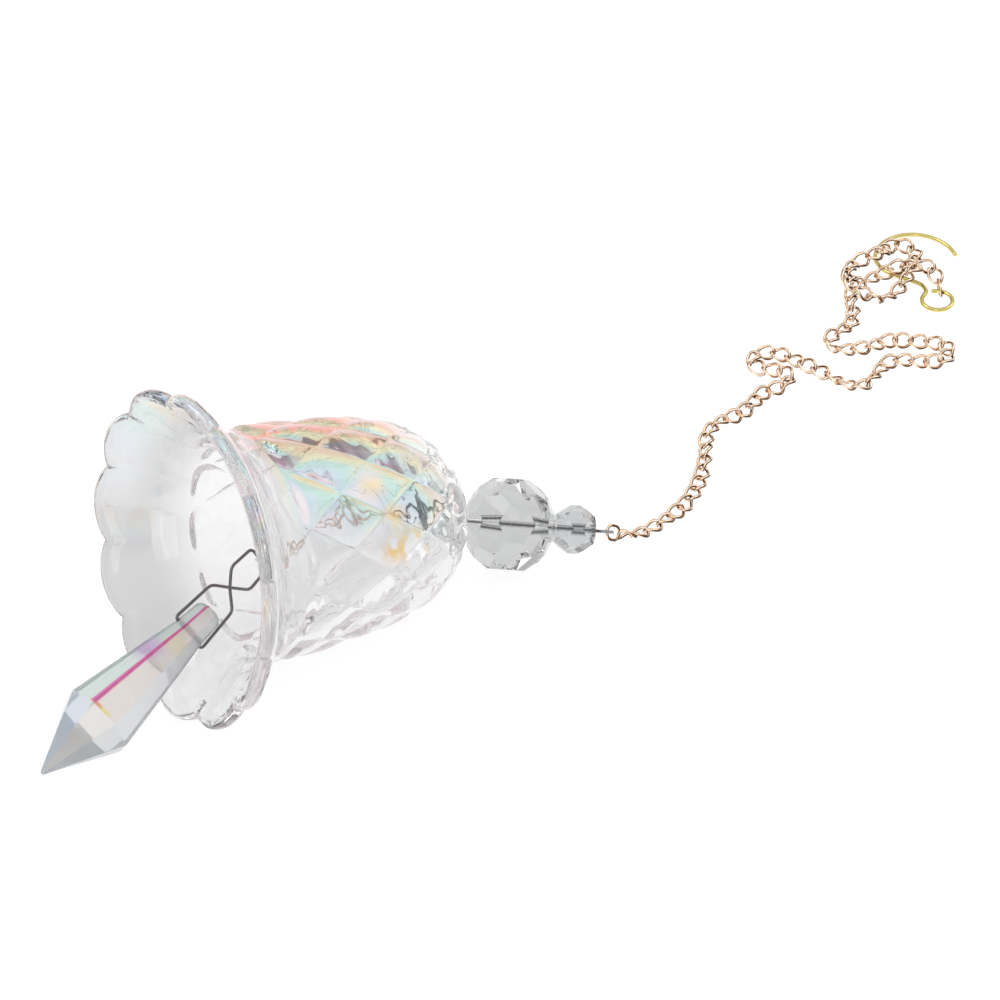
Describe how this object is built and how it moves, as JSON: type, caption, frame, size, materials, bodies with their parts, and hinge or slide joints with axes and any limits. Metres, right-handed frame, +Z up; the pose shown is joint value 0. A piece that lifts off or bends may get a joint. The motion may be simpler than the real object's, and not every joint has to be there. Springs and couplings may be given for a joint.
{
  "type": "hanging glass bell ornament",
  "caption": "Quilted clear glass bell with a scalloped mouth, faceted beads, a prism drop clapper, a fine chain and an open hanging hook.",
  "frame": {"origin": "on the table, at the bottom centre of the box around the bell, its beads, wire and clapper (the hanging chain and hook left out)", "axes": "+Z up from the table, +X along the table from the bell's mouth towards its dome, the pictured lying pose"},
  "size_m": [0.2538, 0.0679, 0.0652],
  "materials": {
    "crystal_glass": "clear pressed glass with an iridescent coating",
    "bead_glass": "clear faceted glass",
    "small_bead_glass": "clear faceted glass",
    "prism_glass": "faceted glass with an iridescent coating",
    "wire_steel": "bright wire",
    "clip_steel": "dark nickelled wire",
    "rose_gold": "rose gold plated",
    "hook_brass": "bright yellow brass plated"
  },
  "bodies": {
    "bell": {"bell_glass": "crystal_glass"},
    "suspension_wire": {"suspension_wire": "wire_steel"},
    "large_bead": {"large_bead": "bead_glass"},
    "small_bead": {"small_bead": "small_bead_glass"},
    "clapper_chain": {"clapper_link_01": "rose_gold", "clapper_link_02": "rose_gold", "clapper_link_03": "rose_gold", "clapper_link_04": "rose_gold", "clapper_link_05": "rose_gold", "clapper_link_06": "rose_gold", "clapper_link_07": "rose_gold", "clapper_link_08": "rose_gold", "clapper_link_09": "rose_gold", "clapper_link_10": "rose_gold", "clapper_link_11": "rose_gold"},
    "prism_clip": {"prism_clip": "clip_steel"},
    "prism_drop": {"prism_drop": "prism_glass"},
    "chain": {"chain_first_link": "rose_gold", "chain": "rose_gold", "chain_last_link": "rose_gold"},
    "hook": {"hook": "hook_brass"}
  },
  "joints": [
    {"name": "bell_spin", "type": "hinge", "parent": "bell", "child": "suspension_wire", "pos_m": [-0.0275, 0, 0.03324], "axis": [0.9646, 0, -0.2639], "continuous": true},
    {"name": "large_bead_spin", "type": "hinge", "parent": "suspension_wire", "child": "large_bead", "pos_m": [0.0461, -0.0069, 0.0102], "axis": [0.8696, -0.4598, -0.1799], "continuous": true},
    {"name": "small_bead_spin", "type": "hinge", "parent": "suspension_wire", "child": "small_bead", "pos_m": [0.0461, -0.0069, 0.0102], "axis": [0.8696, -0.4598, -0.1799], "continuous": true},
    {"name": "clapper_swing", "type": "hinge", "parent": "suspension_wire", "child": "clapper_chain", "pos_m": [0.03003, 0.00162, 0.01917], "axis": [0.1995, 0.948, -0.2479], "range_deg": [0, 25]},
    {"name": "clip_swing", "type": "hinge", "parent": "clapper_chain", "child": "prism_clip", "pos_m": [-0.00497, 0.00792, 0.0151], "axis": [0.3132, -0.5791, -0.7527], "range_deg": [-20, 1]},
    {"name": "prism_swing", "type": "hinge", "parent": "prism_clip", "child": "prism_drop", "pos_m": [-0.0265, -0.001, 0.013], "axis": [0.3132, -0.5791, -0.7527], "range_deg": [-12, 2]},
    {"name": "chain_swing", "type": "hinge", "parent": "suspension_wire", "child": "chain", "pos_m": [0.06537, -0.0162, 0.00553], "axis": [0, 0, 1], "range_deg": [-20, 20]},
    {"name": "hook_fold", "type": "hinge", "parent": "chain", "child": "hook", "pos_m": [0.17538, 0.01125, 0.00182], "axis": [-0.6422, 0.7653, -0.0444], "range_deg": [0, 60]}
  ]
}
